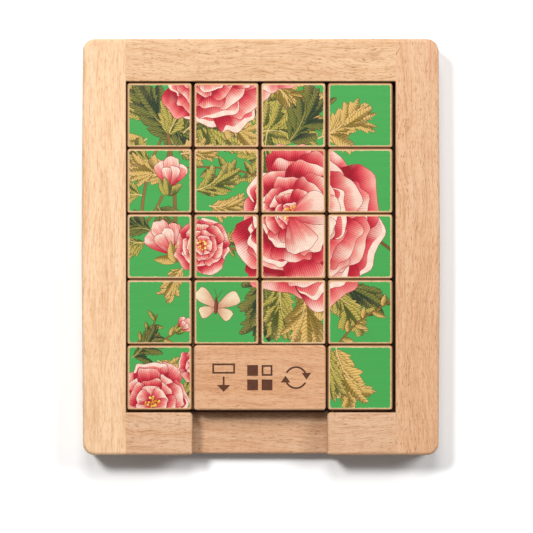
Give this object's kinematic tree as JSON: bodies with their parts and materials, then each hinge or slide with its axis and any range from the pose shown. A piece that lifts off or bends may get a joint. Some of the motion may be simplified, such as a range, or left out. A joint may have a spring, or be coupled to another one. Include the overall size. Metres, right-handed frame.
{
  "type": "sliding tile puzzle",
  "caption": "Sliding tile puzzle: square double-sided picture tiles on tongues and grooves in a flat beech frame, with a double-width block that draws out through a recess in the rail.",
  "frame": {"origin": "middle of the frame's back face, in the plane it lies on", "axes": "+X to the right seen from the front, +Y towards the plain top rail, +Z out of the front face; the recess for the block is at -Y"},
  "size_m": [0.1388, 0.1612, 0.016],
  "materials": {
    "stile_left": "fine-sanded oiled beech, pale",
    "stile_right": "fine-sanded oiled beech, pinker",
    "rails": "fine-sanded oiled beech with dark flecks",
    "block": "oiled beech, reddish, with burnt engraved signs",
    "tile_wood": "sanded beech edges; both faces carry a printed floral picture, mostly green and pink"
  },
  "bodies": {
    "frame": {"left_stile": "stile_left", "right_stile": "stile_right", "top_rail": "rails", "bottom_rail": "rails"},
    "spacer_block": {"spacer_block": "block"},
    "tile_r1c1": {"tile_r1c1": "tile_wood"},
    "tile_r1c2": {"tile_r1c2": "tile_wood"},
    "tile_r1c3": {"tile_r1c3": "tile_wood"},
    "tile_r1c4": {"tile_r1c4": "tile_wood"},
    "tile_r2c1": {"tile_r2c1": "tile_wood"},
    "tile_r2c2": {"tile_r2c2": "tile_wood"},
    "tile_r2c3": {"tile_r2c3": "tile_wood"},
    "tile_r2c4": {"tile_r2c4": "tile_wood"},
    "tile_r3c1": {"tile_r3c1": "tile_wood"},
    "tile_r3c2": {"tile_r3c2": "tile_wood"},
    "tile_r3c3": {"tile_r3c3": "tile_wood"},
    "tile_r3c4": {"tile_r3c4": "tile_wood"},
    "tile_r4c1": {"tile_r4c1": "tile_wood"},
    "tile_r4c2": {"tile_r4c2": "tile_wood"},
    "tile_r4c3": {"tile_r4c3": "tile_wood"},
    "tile_r4c4": {"tile_r4c4": "tile_wood"},
    "tile_r5c1": {"tile_r5c1": "tile_wood"},
    "tile_r5c4": {"tile_r5c4": "tile_wood"}
  },
  "joints": [
    {"name": "block_draw", "type": "slide", "parent": "frame", "child": "spacer_block", "axis": [0, -1, 0], "range_m": [0, 0.048]},
    {"name": "tile_r1c1_slide", "type": "slide", "parent": "frame", "child": "tile_r1c1", "axis": [-1, 0, 0], "range_m": [0, 0.0003]},
    {"name": "tile_r1c2_slide", "type": "slide", "parent": "frame", "child": "tile_r1c2", "axis": [0, -1, 0], "range_m": [0, 0.0254]},
    {"name": "tile_r1c3_slide", "type": "slide", "parent": "frame", "child": "tile_r1c3", "axis": [0, -1, 0], "range_m": [0, 0.0254]},
    {"name": "tile_r1c4_slide", "type": "slide", "parent": "frame", "child": "tile_r1c4", "axis": [1, 0, 0], "range_m": [0, 0.001]},
    {"name": "tile_r2c1_slide", "type": "slide", "parent": "frame", "child": "tile_r2c1", "axis": [-1, 0, 0], "range_m": [0, 0.0003]},
    {"name": "tile_r2c2_slide", "type": "slide", "parent": "frame", "child": "tile_r2c2", "axis": [0, -1, 0], "range_m": [0, 0.0254]},
    {"name": "tile_r2c3_slide", "type": "slide", "parent": "frame", "child": "tile_r2c3", "axis": [0, -1, 0], "range_m": [0, 0.0254]},
    {"name": "tile_r2c4_slide", "type": "slide", "parent": "frame", "child": "tile_r2c4", "axis": [1, 0, 0], "range_m": [0, 0.001]},
    {"name": "tile_r3c1_slide", "type": "slide", "parent": "frame", "child": "tile_r3c1", "axis": [-1, 0, 0], "range_m": [0, 0.0003]},
    {"name": "tile_r3c2_slide", "type": "slide", "parent": "frame", "child": "tile_r3c2", "axis": [0, -1, 0], "range_m": [0, 0.0254]},
    {"name": "tile_r3c3_slide", "type": "slide", "parent": "frame", "child": "tile_r3c3", "axis": [0, -1, 0], "range_m": [0, 0.0254]},
    {"name": "tile_r3c4_slide", "type": "slide", "parent": "frame", "child": "tile_r3c4", "axis": [1, 0, 0], "range_m": [0, 0.001]},
    {"name": "tile_r4c1_slide", "type": "slide", "parent": "frame", "child": "tile_r4c1", "axis": [-1, 0, 0], "range_m": [0, 0.0003]},
    {"name": "tile_r4c2_slide", "type": "slide", "parent": "frame", "child": "tile_r4c2", "axis": [0, -1, 0], "range_m": [0, 0.0254]},
    {"name": "tile_r4c3_slide", "type": "slide", "parent": "frame", "child": "tile_r4c3", "axis": [0, -1, 0], "range_m": [0, 0.0254]},
    {"name": "tile_r4c4_slide", "type": "slide", "parent": "frame", "child": "tile_r4c4", "axis": [1, 0, 0], "range_m": [0, 0.001]},
    {"name": "tile_r5c1_slide", "type": "slide", "parent": "frame", "child": "tile_r5c1", "axis": [-1, 0, 0], "range_m": [0, 0.0003]},
    {"name": "tile_r5c4_slide", "type": "slide", "parent": "frame", "child": "tile_r5c4", "axis": [1, 0, 0], "range_m": [0, 0.001]}
  ],
  "couplings": [
    {"joint": "tile_r1c2_slide", "follows": "block_draw", "ratio": 0.529},
    {"joint": "tile_r1c3_slide", "follows": "block_draw", "ratio": 0.529},
    {"joint": "tile_r2c2_slide", "follows": "block_draw", "ratio": 0.529},
    {"joint": "tile_r2c3_slide", "follows": "block_draw", "ratio": 0.529},
    {"joint": "tile_r3c2_slide", "follows": "block_draw", "ratio": 0.529},
    {"joint": "tile_r3c3_slide", "follows": "block_draw", "ratio": 0.529},
    {"joint": "tile_r4c2_slide", "follows": "block_draw", "ratio": 0.529},
    {"joint": "tile_r4c3_slide", "follows": "block_draw", "ratio": 0.529}
  ]
}
